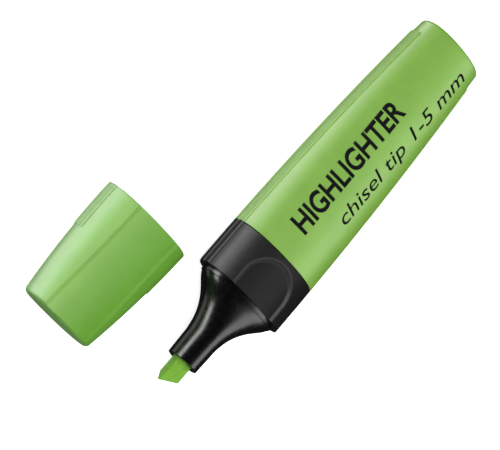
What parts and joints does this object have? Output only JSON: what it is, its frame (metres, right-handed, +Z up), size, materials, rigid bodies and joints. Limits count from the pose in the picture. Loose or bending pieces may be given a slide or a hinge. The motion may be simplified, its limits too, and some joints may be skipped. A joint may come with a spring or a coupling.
{
  "type": "highlighter pen",
  "caption": "Flat-oval highlighter with black grip collar, funnel nose and chisel felt nib, its pull-off cap lying beside it.",
  "frame": {"origin": "on the surface it lies on, under the middle of the whole object, pen and cap together", "axes": "+X from the tail towards the nib, +Z up from the surface, and the cap lies on the -Y side of the pen"},
  "size_m": [0.121, 0.0598, 0.0165],
  "materials": {
    "green_shell": "glossy moulded polypropylene",
    "green_cap": "glossy moulded polypropylene",
    "black_grip": "satin moulded plastic",
    "black_nose": "semi-gloss moulded plastic",
    "felt_nib": "pressed felt soaked with ink",
    "ink_wad": "bonded polyester fibre",
    "clear_film": "thin clear film",
    "seal_plastic": "soft natural polyethylene"
  },
  "bodies": {
    "pen": {"barrel": "green_shell", "tail_plug": "green_shell", "grip_collar": "black_grip", "nose_cone": "black_nose", "nib": "felt_nib", "ink_reservoir": "ink_wad", "reservoir_sleeve": "clear_film"},
    "cap": {"cap_shell": "green_cap", "cap_inner_seal": "seal_plastic"}
  },
  "joints": [
    {"name": "cap_carry", "type": "slide", "parent": "pen", "child": "cap", "axis": [0.8401, 0.5415, 0.0312], "range_m": [0, 0.0602]}
  ]
}
